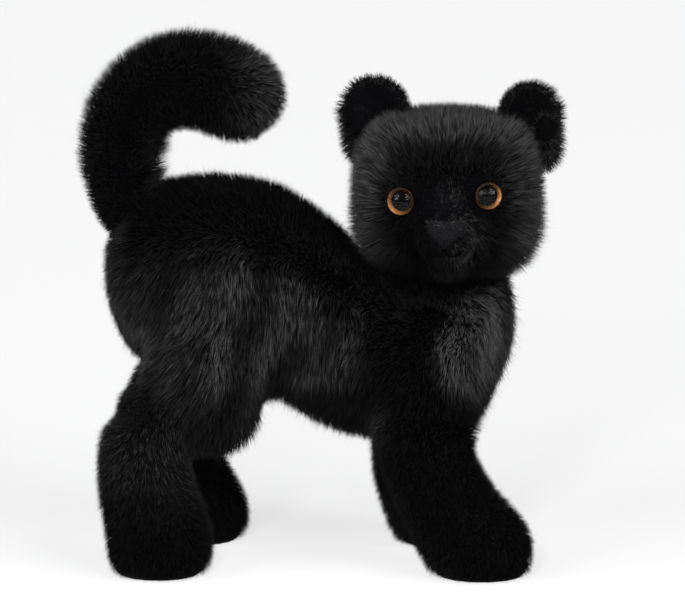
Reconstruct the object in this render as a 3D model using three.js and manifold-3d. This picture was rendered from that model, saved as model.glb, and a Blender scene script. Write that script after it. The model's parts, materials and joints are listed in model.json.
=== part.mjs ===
// A standing plush cat, taken apart into its sewn panels, stuffing, eyes and neck joint.
// Millimetres, +Z up. The cat's body faces +X and its left side is +Y; the head is turned
// to its right. The origin is on the floor, under the middle of the whole cat.

import * as THREE from 'three';
import { mergeVertices } from 'three/addons/utils/BufferGeometryUtils.js';
import Module from 'manifold-3d';

const wasm = await Module();
wasm.setup();

// ---- driving dimensions -------------------------------------------------------------------

const CLOTH = 2.5; // fabric backing with the dense foot of its pile
const GAP = 0.35; // clearance kept between neighbouring pieces
const FILL = -CLOTH - GAP; // how far the stuffing's surface lies inside the cloth's

// Facets round a shape: [outside, inside]. The cloth's inside and the stuffing, which nobody
// sees, are cut from fewer.
const TRUNK_FACETS = [18, 12];
const LIMB_FACETS = [14, 10];
const BALL_FACETS = 18;
const ROUND_FACETS = 16;
const DOME_RINGS = 3;

// The trunk's cross-sections: [x, top z, bottom z, half width].
const TRUNK = [
  [-72, 184.5, 91.5, 37.5],
  [-54, 187, 83, 41.5],
  [-36, 185.5, 79.5, 43],
  [-20, 181.5, 80, 42.5],
  [-5, 172, 74.5, 41.5],
  [9, 160.5, 69, 40.5],
  [20, 149.5, 65.5, 40],
  [33, 143.6, 63, 39.5],
  [52, 141, 64, 38.5],
  [70, 139, 71, 36],
];
const RUMP = new THREE.Vector3(-103.5, 0, 141);
const CHEST = new THREE.Vector3(92.5, 0, 121);
const HAUNCH = { x: -55, y: 31, z: 96, radii: [31.5, 22, 35.5] };
const SHOULDER = { x: 52, y: 29.5, z: 98, radii: [27.5, 21, 35] };
const BELLY = { halfWidth: 19, back: -46, front: 76, top: 96 };

// A leg's cross-sections, lowest first: [z, centre x, half length, half width].
const HIND_LEG = [
  [0, -75.8, 18.5, 15.5],
  [3, -75.6, 22, 19],
  [10, -75.2, 24, 21.6],
  [21, -75.8, 24.4, 22],
  [34, -79.4, 23.2, 21],
  [50, -83, 21.4, 19.4],
  [68, -81.8, 20.8, 18.4],
  [86, -76, 19.4, 16],
  [104, -68, 12, 8],
];
const FORE_LEG = [
  [0, 78, 19.5, 15.5],
  [3, 77.6, 23, 19],
  [9, 76.6, 25.2, 21.4],
  [17, 74.6, 27.4, 22],
  [26, 70.2, 28, 21.4],
  [35, 64, 25.8, 20.4],
  [46, 57, 23, 19.2],
  [62, 51.4, 22.4, 17.8],
  [80, 49.4, 21.4, 15.5],
  [96, 50, 12, 8],
];
const SOLE = 2.4; // thickness of the sole pads
const STRIDE_HEIGHT = 92; // a stepping leg swings from this height
// Each leg: its sections, its side (the cat's right is -Y), how far it stands out, its step.
const LEGS = [
  { name: 'hind_leg_right', sections: HIND_LEG, y: -36, step: 0 },
  { name: 'hind_leg_left', sections: HIND_LEG, y: 36, step: 14 },
  { name: 'front_leg_right', sections: FORE_LEG, y: -34, step: 0 },
  { name: 'front_leg_left', sections: FORE_LEG, y: 34, step: -18 },
];

// The tail's centre line with its radius there: [x, z, radius].
const TAIL = [
  [-80, 150, 17.5],
  [-88.5, 165, 17.4],
  [-94.4, 180, 17.2],
  [-96.4, 193, 17.4],
  [-95.6, 206, 18.2],
  [-88.6, 221, 20.4],
  [-74, 231.6, 22.2],
  [-57, 233.2, 23.2],
  [-40, 227.4, 23],
];
const TAIL_END = new THREE.Vector3(-18, 0, 219);
const TAIL_ROOT = new THREE.Vector3(-91.5, 0, 172);
const TAIL_BEND = new THREE.Vector3(-95.6, 0, 206);
const ROOT_WAY = new THREE.Vector3(-7, 0, 17).normalize(); // the way the tail leaves each hinge
const BEND_WAY = new THREE.Vector3(3, 0, 14).normalize();
const TAIL_STEPS = 12;
const ROOT_BALL = 16.8;
const BEND_BALL = 17.6;
const HINGE_RELIEF = 5.2; // how far short of a tail hinge the lower cloth ends
const FILL_MOUTH = 7; // opening left in a ball's cloth for filling, hidden in the socket

// The neck's pivot, and the head in its own frame: the pivot at 0, the face towards +X.
const NECK = new THREE.Vector3(61, 0, 143.3);
const NECK_STUB = { radius: 21, depth: 30 };
const HEAD_TURN = THREE.MathUtils.degToRad(-90);
// The head's cross-sections: [z, centre x, half depth, half width].
const HEAD = [
  [0, 4, 21, 22],
  [3, 6.5, 29, 31],
  [8, 8.6, 34.4, 36.6],
  [16, 10.4, 38.2, 41],
  [28, 11, 40.2, 43.8],
  [40, 11, 40.6, 44.8],
  [52, 10.6, 39.4, 44],
  [62, 9.6, 36, 41.4],
  [70, 8.4, 30.4, 36.6],
  [75, 7.4, 23.4, 30],
];
const CROWN = new THREE.Vector3(6.6, 0, 79);
const MUZZLE = { at: [40, 0, 21.5], radii: [18.5, 19, 13.5] };
const CHIN = { at: [36, 0, 10], radii: [16, 14, 8.5] };
const MUZZLE_SEAM = 5; // the muzzle's own cloth reaches this far past its bulge
const GUSSET = { halfWidth: 15, front: 37, back: 6 };
const NOSE = { z: 25.8, halfWidth: 8.8, height: 11, thickness: 1.3 };
const MOUTH = { top: 19.4, fork: 17.2, spread: 8.5, rise: 1.6, radius: 0.55 };

// Each ear is a shallow cup of two cloths.
const EAR = { radius: 16.9, depth: 6, inner: 2, outer: 2.6 };
const EYE = { radius: 6.2, dome: 4.8, pupil: 3.5 };
const EYE_BACK = 0.9; // thickness of the dish behind an eye
const EYE_LAYER = 0.55; // thickness of the coloured ring and of the pupil inside it
const SHANK = { radius: 1.7, length: 12 };
const EYE_WASHER = { radius: 6.5, thickness: 1.2, back: 7.5 };
// Eyes and ears are set by hand, so the two sides differ a little. Each looks forwards, and by
// these shares `out` to the side and `up`.
const SIDES = [
  {
    name: 'right',
    eye: { x: 47.2, y: -21, z: 40.6, out: -0.36, up: 0.04 },
    ear: { x: 5, y: -34.8, z: 75.6, out: -0.3, up: 0.16 },
  },
  {
    name: 'left',
    eye: { x: 47.2, y: 19.6, z: 43.2, out: 0.36, up: 0.04 },
    ear: { x: 5, y: 38.2, z: 74.4, out: 0.62, up: 0.16 },
  },
];

const DISC = { radius: 15, thickness: 2.6, bore: 2.6 };
const PIN = { radius: 2.2, head: 5, headThickness: 1.4, tail: 3.4 };
const LOCK = { radius: 7, thickness: 1.5 };
const FAR = 400; // past the edge of everything
const OVERCUT = 1; // how far a cutting tool runs past the face it cuts
const WELD = 1e-4; // corners closer than this are one

const ALONG_Y = new THREE.Vector3(0, 1, 0);
const ALONG_Z = new THREE.Vector3(0, 0, 1);

// ---- solids -------------------------------------------------------------------------------

// three.js geometry to a solid: shared corners are merged, so only positions are kept.
function solid(geometry) {
  const bare = geometry.clone();
  for (const name of ['normal', 'uv']) {
    bare.deleteAttribute(name);
  }
  const merged = mergeVertices(bare, WELD);
  return new wasm.Manifold(new wasm.Mesh({
    numProp: 3,
    vertProperties: new Float32Array(merged.attributes.position.array),
    triVerts: new Uint32Array(merged.index.array),
  }));
}

// A solid back to three.js geometry.
function surface(body) {
  const mesh = body.getMesh();
  const geometry = new THREE.BufferGeometry();
  geometry.setAttribute('position', new THREE.BufferAttribute(mesh.vertProperties, 3));
  geometry.setIndex(new THREE.BufferAttribute(mesh.triVerts, 1));
  geometry.computeVertexNormals();
  return geometry;
}

// The largest separate piece of a solid, so a cut leaves no crumbs.
function largest(body) {
  return body.decompose().reduce((a, b) => (a.volume() > b.volume() ? a : b));
}

// A closed skin over a stack of rings, with a fan to a point at each end.
function skinOver(rings, first, last) {
  const sides = rings[0].length;
  const points = [first, ...rings.flat(), last];
  const end = points.length - 1;
  const index = [];
  for (let j = 0; j < sides; j += 1) {
    const k = (j + 1) % sides;
    index.push(0, 1 + k, 1 + j);
    index.push(end, end - sides + j, end - sides + k);
    for (let i = 0; i + 1 < rings.length; i += 1) {
      const a = 1 + i * sides;
      const b = a + sides;
      index.push(a + j, a + k, b + k);
      index.push(a + j, b + k, b + j);
    }
  }
  const geometry = new THREE.BufferGeometry().setFromPoints(points);
  geometry.setIndex(index);
  return geometry;
}

// A ring round a centre, from its two half axes.
function ring(centre, u, v, sides) {
  return Array.from({ length: sides }, (_, j) => {
    const turn = (2 * Math.PI * j) / sides;
    return centre.clone().addScaledVector(u, Math.cos(turn)).addScaledVector(v, Math.sin(turn));
  });
}

// Rings that close a loft in a dome, from its last section to the pole.
function dome(centre, u, v, pole, sides) {
  return Array.from({ length: DOME_RINGS }, (_, i) => {
    const turn = ((i + 1) / (DOME_RINGS + 1)) * (Math.PI / 2);
    const at = centre.clone().lerp(pole, Math.sin(turn));
    const shrink = Math.cos(turn);
    return ring(at, u.clone().multiplyScalar(shrink), v.clone().multiplyScalar(shrink), sides);
  });
}

// Grows or shrinks a pole along the line from its section's centre.
function moved(pole, centre, grow) {
  const out = pole.clone().sub(centre).normalize();
  return pole.clone().addScaledVector(out, grow);
}

function box(x0, x1, y0, y1, z0, z1) {
  const geometry = new THREE.BoxGeometry(x1 - x0, y1 - y0, z1 - z0);
  geometry.translate((x0 + x1) / 2, (y0 + y1) / 2, (z0 + z1) / 2);
  return solid(geometry);
}

const fineness = (grow, [outside, inside]) => (grow < 0 ? inside : outside);

function ellipsoid(at, radii, grow) {
  const sides = fineness(grow, LIMB_FACETS);
  const geometry = new THREE.SphereGeometry(1, sides, Math.ceil(sides / 2));
  geometry.rotateX(Math.PI / 2);
  geometry.scale(...radii.map((r) => r + grow));
  geometry.translate(...at);
  return solid(geometry);
}

function ball(at, radius) {
  const geometry = new THREE.SphereGeometry(radius, BALL_FACETS, BALL_FACETS / 2);
  geometry.translate(at.x, at.y, at.z);
  return solid(geometry);
}

// The hollow a ball turns in. The middles of its facets clear the ball's corners.
function socket(at, radius) {
  return ball(at, (radius + GAP) / Math.cos(Math.PI / BALL_FACETS) ** 2);
}

// A round bar along +Z from low to high, then moved by a matrix if it has one.
function bar(radius, low, high, matrix = new THREE.Matrix4()) {
  const geometry = new THREE.CylinderGeometry(radius, radius, high - low, ROUND_FACETS);
  geometry.rotateX(Math.PI / 2);
  geometry.translate(0, 0, (low + high) / 2);
  geometry.applyMatrix4(matrix);
  return solid(geometry);
}

// A closed solid turned round +Z from [radius, height] pairs that start and end on the axis.
function turned(profile, matrix) {
  const points = profile.map(([r, h]) => new THREE.Vector2(r, h));
  const geometry = new THREE.LatheGeometry(points, ROUND_FACETS);
  geometry.rotateX(Math.PI / 2);
  geometry.applyMatrix4(matrix);
  return solid(geometry);
}

// The frame of a piece that sits at a point and looks along a direction, its own +Z.
function looking(at, direction) {
  const way = new THREE.Quaternion().setFromUnitVectors(ALONG_Z, direction.clone().normalize());
  return new THREE.Matrix4().compose(at, way, new THREE.Vector3(1, 1, 1));
}

// A flat ring along +Z.
function washer(radius, bore, low, high, matrix) {
  return bar(radius, low, high, matrix)
    .subtract(bar(bore, low - OVERCUT, high + OVERCUT, matrix));
}

const NECK_FRAME = new THREE.Matrix4().setPosition(NECK);
const inBody = (radius, low, high) => bar(radius, low, high, NECK_FRAME);

// ---- the soft shapes, each grown or shrunk by `grow` ----------------------------------------

// Trunk, haunches and shoulders in one, with the short stub that the neck joint clamps.
function torsoShape(grow) {
  const sides = fineness(grow, TRUNK_FACETS);
  const sections = TRUNK.map(([x, top, bottom, half]) => ({
    centre: new THREE.Vector3(x, 0, (top + bottom) / 2),
    u: ALONG_Y.clone().multiplyScalar(half + grow),
    v: ALONG_Z.clone().multiplyScalar((top - bottom) / 2 + grow),
  }));
  const back = sections[0];
  const front = sections[sections.length - 1];
  const rump = moved(RUMP, back.centre, grow);
  const chest = moved(CHEST, front.centre, grow);
  const rings = [
    ...dome(back.centre, back.u, back.v, rump, sides).reverse(),
    ...sections.map(({ centre, u, v }) => ring(centre, u, v, sides)),
    ...dome(front.centre, front.u, front.v, chest, sides),
  ];
  let torso = solid(skinOver(rings, rump, chest));
  for (const { x, y, z, radii } of [HAUNCH, SHOULDER]) {
    for (const side of [-1, 1]) {
      torso = torso.add(ellipsoid([x, side * y, z], radii, grow));
    }
  }
  return torso.add(inBody(NECK_STUB.radius + grow, -NECK_STUB.depth, grow - GAP));
}

// A leg from its sole upwards. A step moves its paw along X and fades out towards the hip.
function legShape({ sections, y, step }, grow) {
  const sides = fineness(grow, LIMB_FACETS);
  const rings = sections.map(([z, x, length, width]) => {
    const swing = step * (1 - THREE.MathUtils.smoothstep(z, 0, STRIDE_HEIGHT));
    const u = new THREE.Vector3(length + grow, 0, 0);
    const v = new THREE.Vector3(0, width + grow, 0);
    return ring(new THREE.Vector3(x + swing, y, z), u, v, sides);
  });
  const centreOf = (points) => points.reduce((a, b) => a.clone().add(b)).divideScalar(sides);
  return solid(skinOver(rings, centreOf(rings[0]), centreOf(rings[rings.length - 1])));
}

// The whole tail: round sections square to its centre line, and a domed tip.
function tailShape(grow) {
  const sides = fineness(grow, LIMB_FACETS);
  const line = new THREE.CatmullRomCurve3(TAIL.map(([x, z]) => new THREE.Vector3(x, 0, z)));
  const radius = new THREE.CatmullRomCurve3(TAIL.map(([, , r], i) => new THREE.Vector3(i, r, 0)));
  const sections = Array.from({ length: TAIL_STEPS + 1 }, (_, i) => {
    const t = i / TAIL_STEPS;
    const across = ALONG_Y.clone().cross(line.getTangent(t));
    const half = radius.getPoint(t).y + grow;
    return {
      centre: line.getPoint(t),
      u: across.multiplyScalar(half),
      v: ALONG_Y.clone().multiplyScalar(half),
    };
  });
  const tip = sections[TAIL_STEPS];
  const pole = moved(TAIL_END, tip.centre, grow);
  const rings = [
    ...sections.map(({ centre, u, v }) => ring(centre, u, v, sides)),
    ...dome(tip.centre, tip.u, tip.v, pole, sides),
  ];
  return solid(skinOver(rings, sections[0].centre, pole));
}

// The head in its own frame, with the muzzle and chin that stand out of the face.
function headShape(grow) {
  const sides = fineness(grow, TRUNK_FACETS);
  const rings = HEAD.map(([z, x, depth, width]) => {
    const lift = z === 0 ? -grow : 0;
    const u = new THREE.Vector3(depth + grow, 0, 0);
    const v = new THREE.Vector3(0, width + grow, 0);
    return ring(new THREE.Vector3(x, 0, z + lift), u, v, sides);
  });
  const crown = CROWN.clone().setZ(CROWN.z + grow);
  const base = new THREE.Vector3(HEAD[0][1], 0, -grow);
  return solid(skinOver(rings, base, crown))
    .add(ellipsoid(MUZZLE.at, MUZZLE.radii, grow))
    .add(ellipsoid(CHIN.at, CHIN.radii, grow));
}

// ---- materials ----------------------------------------------------------------------------

const finish = (color, roughness, metalness = 0) => (
  () => new THREE.MeshStandardMaterial({ color, roughness, metalness })
);
const LONG_PLUSH = finish(0x2b2a2d, 0.95);
const SHORT_PLUSH = finish(0x232224, 0.9);
const INNER_EAR = finish(0x2c2b31, 0.85);
const NOSE_CLOTH = finish(0x39393c, 0.8);
const THREAD = finish(0x121214, 0.7);
const FIBREFILL = finish(0xe9e7e2, 1);
const CLEAR = finish(0xf6f2ea, 0.04);
const AMBER = finish(0xd98a1c, 0.25);
const BLACK_PLASTIC = finish(0x08080a, 0.2);
const WHITE_PLASTIC = finish(0xd8d8d4, 0.45);
const STEEL = finish(0x9a9ca0, 0.3, 1);

const cat = new THREE.Group();
const head = new THREE.Group();
head.position.copy(NECK);
head.rotation.z = HEAD_TURN;
cat.add(head);

function place(group, name, body, material) {
  const mesh = new THREE.Mesh(surface(body), material());
  mesh.name = name;
  group.add(mesh);
}

// ---- neck joint: two discs clamped on one pin through both cloths -----------------------------

// Heights above the pivot's plane.
const bodyDiscTop = -CLOTH - 2 * GAP;
const bodyDiscBottom = bodyDiscTop - DISC.thickness;
const headDiscBottom = CLOTH + GAP;
const headDiscTop = headDiscBottom + DISC.thickness;
const pinTop = headDiscTop + GAP + PIN.headThickness;
const pinBottom = bodyDiscBottom - PIN.tail;
const lockTop = bodyDiscBottom - GAP;
const neckPin = inBody(PIN.radius, pinBottom, pinTop)
  .add(inBody(PIN.head, headDiscTop + GAP, pinTop));

place(cat, 'neck_disc_body',
  washer(DISC.radius, DISC.bore, bodyDiscBottom, bodyDiscTop, NECK_FRAME), WHITE_PLASTIC);
place(cat, 'neck_lock_washer',
  washer(LOCK.radius, PIN.radius + GAP, lockTop - LOCK.thickness, lockTop, NECK_FRAME), STEEL);
place(cat, 'neck_pin', neckPin, STEEL);
place(head, 'neck_disc_head',
  washer(DISC.radius, DISC.bore, headDiscBottom, headDiscTop), WHITE_PLASTIC);

// Room that the joint's hardware takes in the stuffing below and above the pivot.
const bodyPocket = inBody(DISC.radius + GAP, pinBottom - GAP, CLOTH);
const headPocket = bar(DISC.radius + GAP, -CLOTH, pinTop + GAP);
const pinHole = inBody(DISC.bore, -DISC.radius, DISC.radius);
const headPinHole = bar(DISC.bore, -DISC.radius, DISC.radius);

// ---- torso --------------------------------------------------------------------------------

const torsoCut = socket(TAIL_ROOT, ROOT_BALL);
const torsoSkin = torsoShape(0).subtract(torsoShape(-CLOTH)).subtract(torsoCut).subtract(pinHole);
const bellyBox = (grow) => box(BELLY.back - grow, BELLY.front + grow, -BELLY.halfWidth - grow,
  BELLY.halfWidth + grow, 0, BELLY.top + grow);
const sideSkin = torsoSkin.subtract(bellyBox(GAP));

place(cat, 'torso_side_right', largest(sideSkin.intersect(box(-FAR, FAR, -FAR, -GAP / 2, 0, FAR))),
  LONG_PLUSH);
place(cat, 'torso_side_left', largest(sideSkin.intersect(box(-FAR, FAR, GAP / 2, FAR, 0, FAR))),
  LONG_PLUSH);
place(cat, 'torso_belly', largest(torsoSkin.intersect(bellyBox(0))), LONG_PLUSH);
place(cat, 'torso_stuffing', largest(torsoShape(FILL).subtract(torsoCut)
  .subtract(bodyPocket)), FIBREFILL);

// ---- legs, sewn to the torso ----------------------------------------------------------------

const torsoRoom = torsoShape(GAP);
const level = (low, high) => box(-FAR, FAR, -FAR, FAR, low, high);
const aboveSole = level(SOLE + GAP, FAR);
for (const leg of LEGS) {
  const outer = legShape(leg, 0);
  place(cat, `${leg.name}_sole`, outer.intersect(level(-OVERCUT, SOLE)), SHORT_PLUSH);
  place(cat, `${leg.name}_skin`, largest(outer.subtract(legShape(leg, -CLOTH))
    .intersect(aboveSole).subtract(torsoRoom)), SHORT_PLUSH);
  place(cat, `${leg.name}_stuffing`, largest(legShape(leg, FILL)
    .intersect(aboveSole).subtract(torsoRoom)), FIBREFILL);
}

// ---- tail: two lengths, each ending in a ball that nests in the one before --------------------

// Half space on the tip's side of a plane square to the tail, `off` mm from a hinge's centre.
function beyond(hinge, direction, off) {
  const geometry = new THREE.BoxGeometry(2 * FAR, 2 * FAR, 2 * FAR);
  geometry.translate(0, 0, FAR + off);
  geometry.applyMatrix4(looking(hinge, direction));
  return solid(geometry);
}

function tailPieces(grow) {
  const whole = tailShape(grow);
  const base = whole.intersect(beyond(TAIL_ROOT, ROOT_WAY, 0))
    .subtract(torsoShape(HINGE_RELIEF - grow))
    .subtract(beyond(TAIL_BEND, BEND_WAY, -HINGE_RELIEF))
    .add(ball(TAIL_ROOT, ROOT_BALL + grow))
    .subtract(socket(TAIL_BEND, BEND_BALL - grow));
  const tip = whole.intersect(beyond(TAIL_BEND, BEND_WAY, 0)).add(ball(TAIL_BEND, BEND_BALL + grow));
  return { base, tip };
}
const tailOuter = tailPieces(0);
const tailInner = tailPieces(-CLOTH);
const tailFill = tailPieces(FILL);
const baseMouth = ball(TAIL_ROOT.clone().addScaledVector(ROOT_WAY, -ROOT_BALL), FILL_MOUTH);
const tipMouth = ball(TAIL_BEND.clone().addScaledVector(BEND_WAY, -BEND_BALL), FILL_MOUTH);

place(cat, 'tail_base_skin', largest(tailOuter.base.subtract(tailInner.base).subtract(baseMouth)),
  LONG_PLUSH);
place(cat, 'tail_base_stuffing', largest(tailFill.base), FIBREFILL);
place(cat, 'tail_tip_skin', largest(tailOuter.tip.subtract(tailInner.tip).subtract(tipMouth)),
  LONG_PLUSH);
place(cat, 'tail_tip_stuffing', largest(tailFill.tip), FIBREFILL);

// ---- head ---------------------------------------------------------------------------------

// The frame of an eye or ear: its place on the head, and the way it looks.
const frameOf = ({ x, y, z, out, up }) => looking(new THREE.Vector3(x, y, z),
  new THREE.Vector3(1, out, up));

// The room an eye takes: its dish and dome in the face, its shank and washer behind.
function eyeRoom(frame) {
  const washerEnd = -EYE_WASHER.back - EYE_WASHER.thickness;
  return bar(EYE.radius + GAP, -EYE_BACK - 2 * GAP, FAR, frame)
    .add(bar(SHANK.radius + GAP, -SHANK.length - GAP, 0, frame))
    .add(bar(EYE_WASHER.radius + GAP, washerEnd - GAP, GAP - EYE_WASHER.back, frame));
}

function eyeDome(frame) {
  const steps = 5;
  const low = EYE_LAYER + GAP;
  const arc = Array.from({ length: steps + 1 }, (_, i) => {
    const turn = (i / steps) * (Math.PI / 2);
    return [EYE.radius * Math.cos(turn), low + EYE.dome * Math.sin(turn)];
  });
  arc[steps][0] = 0;
  return turned([[0, low], ...arc], frame);
}

// One cloth of an ear, between two depths that meet at the rim.
function earCup(near, far, frame) {
  const steps = 4;
  const at = (i, lift) => {
    const r = i / steps;
    return [r * EAR.radius, EAR.depth * (r * r - 1) + lift * Math.sqrt(1 - r * r)];
  };
  const out = Array.from({ length: steps + 1 }, (_, i) => at(i, near));
  const back = Array.from({ length: steps }, (_, i) => at(steps - 1 - i, far));
  return turned([...out, ...back], frame);
}

const headOuter = headShape(0);
const headRoom = headShape(GAP);
let headSkin = headOuter.subtract(headShape(-CLOTH)).subtract(headPinHole);
let headFill = headShape(FILL).subtract(headPocket);

for (const { name, eye, ear } of SIDES) {
  const frame = frameOf(eye);
  headSkin = headSkin.subtract(eyeRoom(frame));
  headFill = headFill.subtract(eyeRoom(frame));
  const dish = turned([
    [0, -SHANK.length],
    [SHANK.radius, -SHANK.length],
    [SHANK.radius, -EYE_BACK - GAP],
    [EYE.radius, -EYE_BACK - GAP],
    [EYE.radius, -GAP],
    [EYE.pupil - GAP, -GAP],
    [EYE.pupil - GAP, EYE_LAYER],
    [0, EYE_LAYER],
  ], frame);
  place(head, `eye_${name}_dome`, eyeDome(frame), CLEAR);
  place(head, `eye_${name}_iris`, washer(EYE.radius - GAP, EYE.pupil, 0, EYE_LAYER, frame), AMBER);
  place(head, `eye_${name}_dish`, dish, BLACK_PLASTIC);
  place(head, `eye_${name}_washer`, washer(EYE_WASHER.radius, SHANK.radius + GAP,
    -EYE_WASHER.back - EYE_WASHER.thickness, -EYE_WASHER.back, frame), WHITE_PLASTIC);

  // An ear is an inner and an outer cloth, seamed round the rim and sewn to the head.
  const earFrame = frameOf(ear);
  const cup = (near, far) => earCup(near, far, earFrame).subtract(headRoom);
  place(head, `ear_${name}_outer`, largest(cup(-EAR.outer, 0)), LONG_PLUSH);
  place(head, `ear_${name}_inner`, largest(cup(GAP, GAP + EAR.inner)), INNER_EAR);
}

const muzzleSeam = (grow) => ellipsoid(MUZZLE.at, MUZZLE.radii, MUZZLE_SEAM + grow);
const gussetStrip = (grow) => {
  const wide = GUSSET.halfWidth + grow;
  return box(-FAR, FAR, -wide, wide, GUSSET.front - grow, FAR)
    .add(box(-FAR, 0, -wide, wide, GUSSET.back - grow, FAR));
};
const cheeks = headSkin.subtract(muzzleSeam(GAP)).subtract(gussetStrip(GAP));

place(head, 'head_side_right', largest(cheeks.intersect(box(-FAR, FAR, -FAR, -GAP / 2, -FAR, FAR))),
  LONG_PLUSH);
place(head, 'head_side_left', largest(cheeks.intersect(box(-FAR, FAR, GAP / 2, FAR, -FAR, FAR))),
  LONG_PLUSH);
place(head, 'head_gusset', largest(headSkin.subtract(muzzleSeam(GAP)).intersect(gussetStrip(0))),
  LONG_PLUSH);
place(head, 'muzzle_panel', largest(headSkin.intersect(muzzleSeam(0))), SHORT_PLUSH);
place(head, 'head_stuffing', largest(headFill), FIBREFILL);

// ---- nose and mouth -------------------------------------------------------------------------

function nosePatch() {
  const outline = new THREE.Shape();
  const low = NOSE.z - NOSE.height / 2;
  const high = NOSE.z + NOSE.height / 2;
  outline.moveTo(-NOSE.halfWidth, high);
  outline.quadraticCurveTo(-NOSE.halfWidth, NOSE.z, 0, low);
  outline.quadraticCurveTo(NOSE.halfWidth, NOSE.z, NOSE.halfWidth, high);
  const geometry = new THREE.ExtrudeGeometry(outline, {
    depth: FAR,
    bevelEnabled: false,
    curveSegments: 4,
  });
  const xToY = new THREE.Matrix4().makeBasis(ALONG_Y, ALONG_Z, new THREE.Vector3(1, 0, 0));
  geometry.applyMatrix4(xToY);
  const layer = headShape(GAP + NOSE.thickness).subtract(headRoom);
  return largest(layer.intersect(solid(geometry)));
}

// A stitched line over the muzzle, a thread's radius clear of the cloth.
function thread(path) {
  const [x, , z] = MUZZLE.at;
  const [depth, width, height] = MUZZLE.radii.map((r) => r + GAP + MOUTH.radius);
  const points = path.map(([y, up]) => {
    const part = 1 - (y / width) ** 2 - ((up - z) / height) ** 2;
    return new THREE.Vector3(x + depth * Math.sqrt(part), y, up);
  });
  const section = new THREE.Shape();
  section.absarc(0, 0, MOUTH.radius, 0, 2 * Math.PI);
  return solid(new THREE.ExtrudeGeometry(section, {
    steps: 4,
    curveSegments: 3,
    bevelEnabled: false,
    extrudePath: new THREE.CatmullRomCurve3(points),
  }));
}

function mouthStitch() {
  const { top, fork, spread, rise } = MOUTH;
  const lip = (side) => [0, 0.35, 0.7, 1].map((t) => (
    [side * spread * t, fork - rise * Math.sin(Math.PI * t) + rise * t * t]
  ));
  return thread([[0, top], [0, (top + fork) / 2], [0, fork]])
    .add(thread(lip(-1)))
    .add(thread(lip(1)));
}

place(head, 'nose_patch', nosePatch(), NOSE_CLOTH);
place(head, 'mouth_stitch', mouthStitch(), THREAD);

export default cat;
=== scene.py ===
"""A black plush kitten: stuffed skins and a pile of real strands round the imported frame.

Metres, +Z up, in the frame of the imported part: the body faces +X and the head is turned to -Y.
Each skin is made from copies of its CAD panels and stuffing. The pile is geometry: tapered closed
strands, rooted on the skins, combed by a flow field and gathered into tufts.
"""

import json
import math
from collections import namedtuple

import bmesh
import bpy
import numpy as np
from mathutils import Matrix, Vector
from mathutils.bvhtree import BVHTree
from mathutils.kdtree import KDTree


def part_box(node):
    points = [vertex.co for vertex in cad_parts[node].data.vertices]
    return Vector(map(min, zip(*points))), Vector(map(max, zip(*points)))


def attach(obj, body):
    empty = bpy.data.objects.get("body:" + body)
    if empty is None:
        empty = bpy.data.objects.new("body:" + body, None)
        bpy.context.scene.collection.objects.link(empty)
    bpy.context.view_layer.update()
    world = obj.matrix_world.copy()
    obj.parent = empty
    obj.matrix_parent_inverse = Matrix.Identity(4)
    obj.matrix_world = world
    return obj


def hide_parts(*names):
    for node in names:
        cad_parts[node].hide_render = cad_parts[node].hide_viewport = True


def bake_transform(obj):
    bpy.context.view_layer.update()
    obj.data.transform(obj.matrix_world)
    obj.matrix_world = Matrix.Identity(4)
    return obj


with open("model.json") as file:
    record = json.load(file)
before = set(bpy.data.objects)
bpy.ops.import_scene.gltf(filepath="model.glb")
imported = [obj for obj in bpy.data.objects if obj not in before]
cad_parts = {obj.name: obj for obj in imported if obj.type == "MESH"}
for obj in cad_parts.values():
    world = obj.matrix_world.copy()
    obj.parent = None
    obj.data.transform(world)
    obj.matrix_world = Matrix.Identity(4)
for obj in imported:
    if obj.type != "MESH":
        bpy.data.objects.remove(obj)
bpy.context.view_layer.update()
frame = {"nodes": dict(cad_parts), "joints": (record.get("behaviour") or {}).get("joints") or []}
NODES = frame["nodes"]

MM = 0.001
SEED = 7
LEGS = ("hind_leg_right", "hind_leg_left", "front_leg_right", "front_leg_left")
SIDES = ("right", "left")


# ---- camera, light and stage ----------------------------------------------------------------

CAMERA_AZIMUTH = 2.0  # degrees
CAMERA_HEIGHT = 11.0
CAMERA_DISTANCE = 2.5
FRAME_WIDTH = 0.3288  # how much the view spans at the cat
LOOK_AT = Vector((0.0108, 0.0, 0.127))

# Azimuths, heights and widths of the lamps are in degrees.
KEY_DISTANCE = 3.0
KEY_LAMPS = [
    {"name": "key_right", "azimuth": 46, "height": 31, "spread_angle": 44, "strength": 2.7},
    {"name": "key_left", "azimuth": -50, "height": 24, "spread_angle": 40, "strength": 2.2},
]
WINDOW = {"name": "window", "azimuth": -6, "height": 24, "distance": 1.2, "size": (0.14, 0.16),
          "power": 10}
FLOOR_HALF = 12.0


def toward(azimuth, height):
    """The unit vector from the cat to a viewer at that azimuth and height, in degrees."""
    a, h = math.radians(azimuth), math.radians(height)
    return Vector((math.sin(a) * math.cos(h), -math.cos(a) * math.cos(h), math.sin(h)))


def aimed(thing, azimuth, height, distance, target):
    """Stands a camera or lamp off a target and turns it to look there."""
    away = toward(azimuth, height)
    thing.location = target + away * distance
    thing.rotation_euler = (-away).to_track_quat("-Z", "Y").to_euler()
    bpy.context.scene.collection.objects.link(thing)


def make_camera():
    data = bpy.data.cameras.new("camera")
    data.sensor_width = 36.0
    data.lens = data.sensor_width * CAMERA_DISTANCE / FRAME_WIDTH
    data.clip_end = 50.0
    camera = bpy.data.objects.new("camera", data)
    aimed(camera, CAMERA_AZIMUTH, CAMERA_HEIGHT, CAMERA_DISTANCE, LOOK_AT)
    bpy.context.scene.camera = camera


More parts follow.
